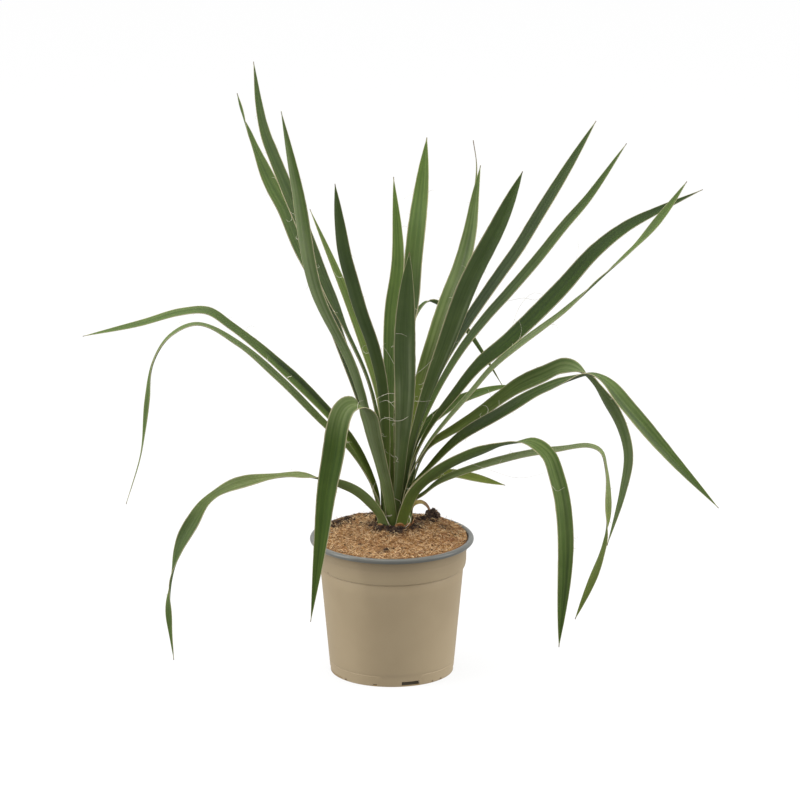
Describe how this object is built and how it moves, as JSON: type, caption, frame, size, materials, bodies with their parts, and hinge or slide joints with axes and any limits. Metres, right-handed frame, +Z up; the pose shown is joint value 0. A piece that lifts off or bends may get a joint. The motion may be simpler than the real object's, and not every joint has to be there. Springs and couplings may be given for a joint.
{
  "type": "potted adam's needle",
  "caption": "Adam's needle yucca: a rosette of stiff sword-shaped leaves, some arching over, growing from coir-mulched soil in a round tapered nursery pot with a rolled rim.",
  "frame": {"origin": "centre of the pot's underside, on the surface that it stands on", "axes": "+Z up, -Y towards the side seen in the picture, +X to the right of that view"},
  "size_m": [0.7315, 0.4628, 0.7031],
  "materials": {
    "pot_plastic": "moulded taupe plastic with a soft sheen and a greyer rolled rim",
    "peat": "moist dark peat crumb",
    "coir": "dry chopped coconut fibre",
    "stem_bark": "fibrous woody stem with torn papery leaf bases",
    "leaf_blade": "leathery green blade with a grey waxy bloom and a fine tan margin",
    "dead_leaf": "dry yellow-brown blade"
  },
  "bodies": {
    "root": {"pot": "pot_plastic", "potting_soil": "peat", "coir_mulch": "coir", "peat_clod": "peat", "stem_base": "stem_bark", "old_leaf_stub": "dead_leaf", "leaf_left_high_arch": "leaf_blade", "leaf_left_hanging": "leaf_blade", "leaf_left_low_wavy": "leaf_blade", "leaf_front_folded": "leaf_blade", "leaf_front_right_hanging": "leaf_blade", "leaf_right_thin_hanging": "leaf_blade", "leaf_right_long_arch": "leaf_blade", "leaf_right_drooping": "leaf_blade", "leaf_back_right_short": "leaf_blade", "leaf_back_thin_arch": "leaf_blade", "leaf_back_arch": "leaf_blade", "leaf_back_low_arch": "leaf_blade", "leaf_front_upright": "leaf_blade", "leaf_left_grey": "leaf_blade", "leaf_left_outer_tall": "leaf_blade", "leaf_left_tallest": "leaf_blade", "leaf_left_thin": "leaf_blade", "leaf_left_dark": "leaf_blade", "leaf_back_upright": "leaf_blade", "leaf_back_upright_wide": "leaf_blade", "leaf_back_right_dry_tip": "leaf_blade", "leaf_right_upright": "leaf_blade", "leaf_right_dark_wide": "leaf_blade", "leaf_right_outer_tall": "leaf_blade", "leaf_right_tall_folded": "leaf_blade", "leaf_right_broad": "leaf_blade", "leaf_right_front_pale": "leaf_blade", "leaf_right_short": "leaf_blade", "leaf_back_right_inner": "leaf_blade"}
  },
  "joints": []
}
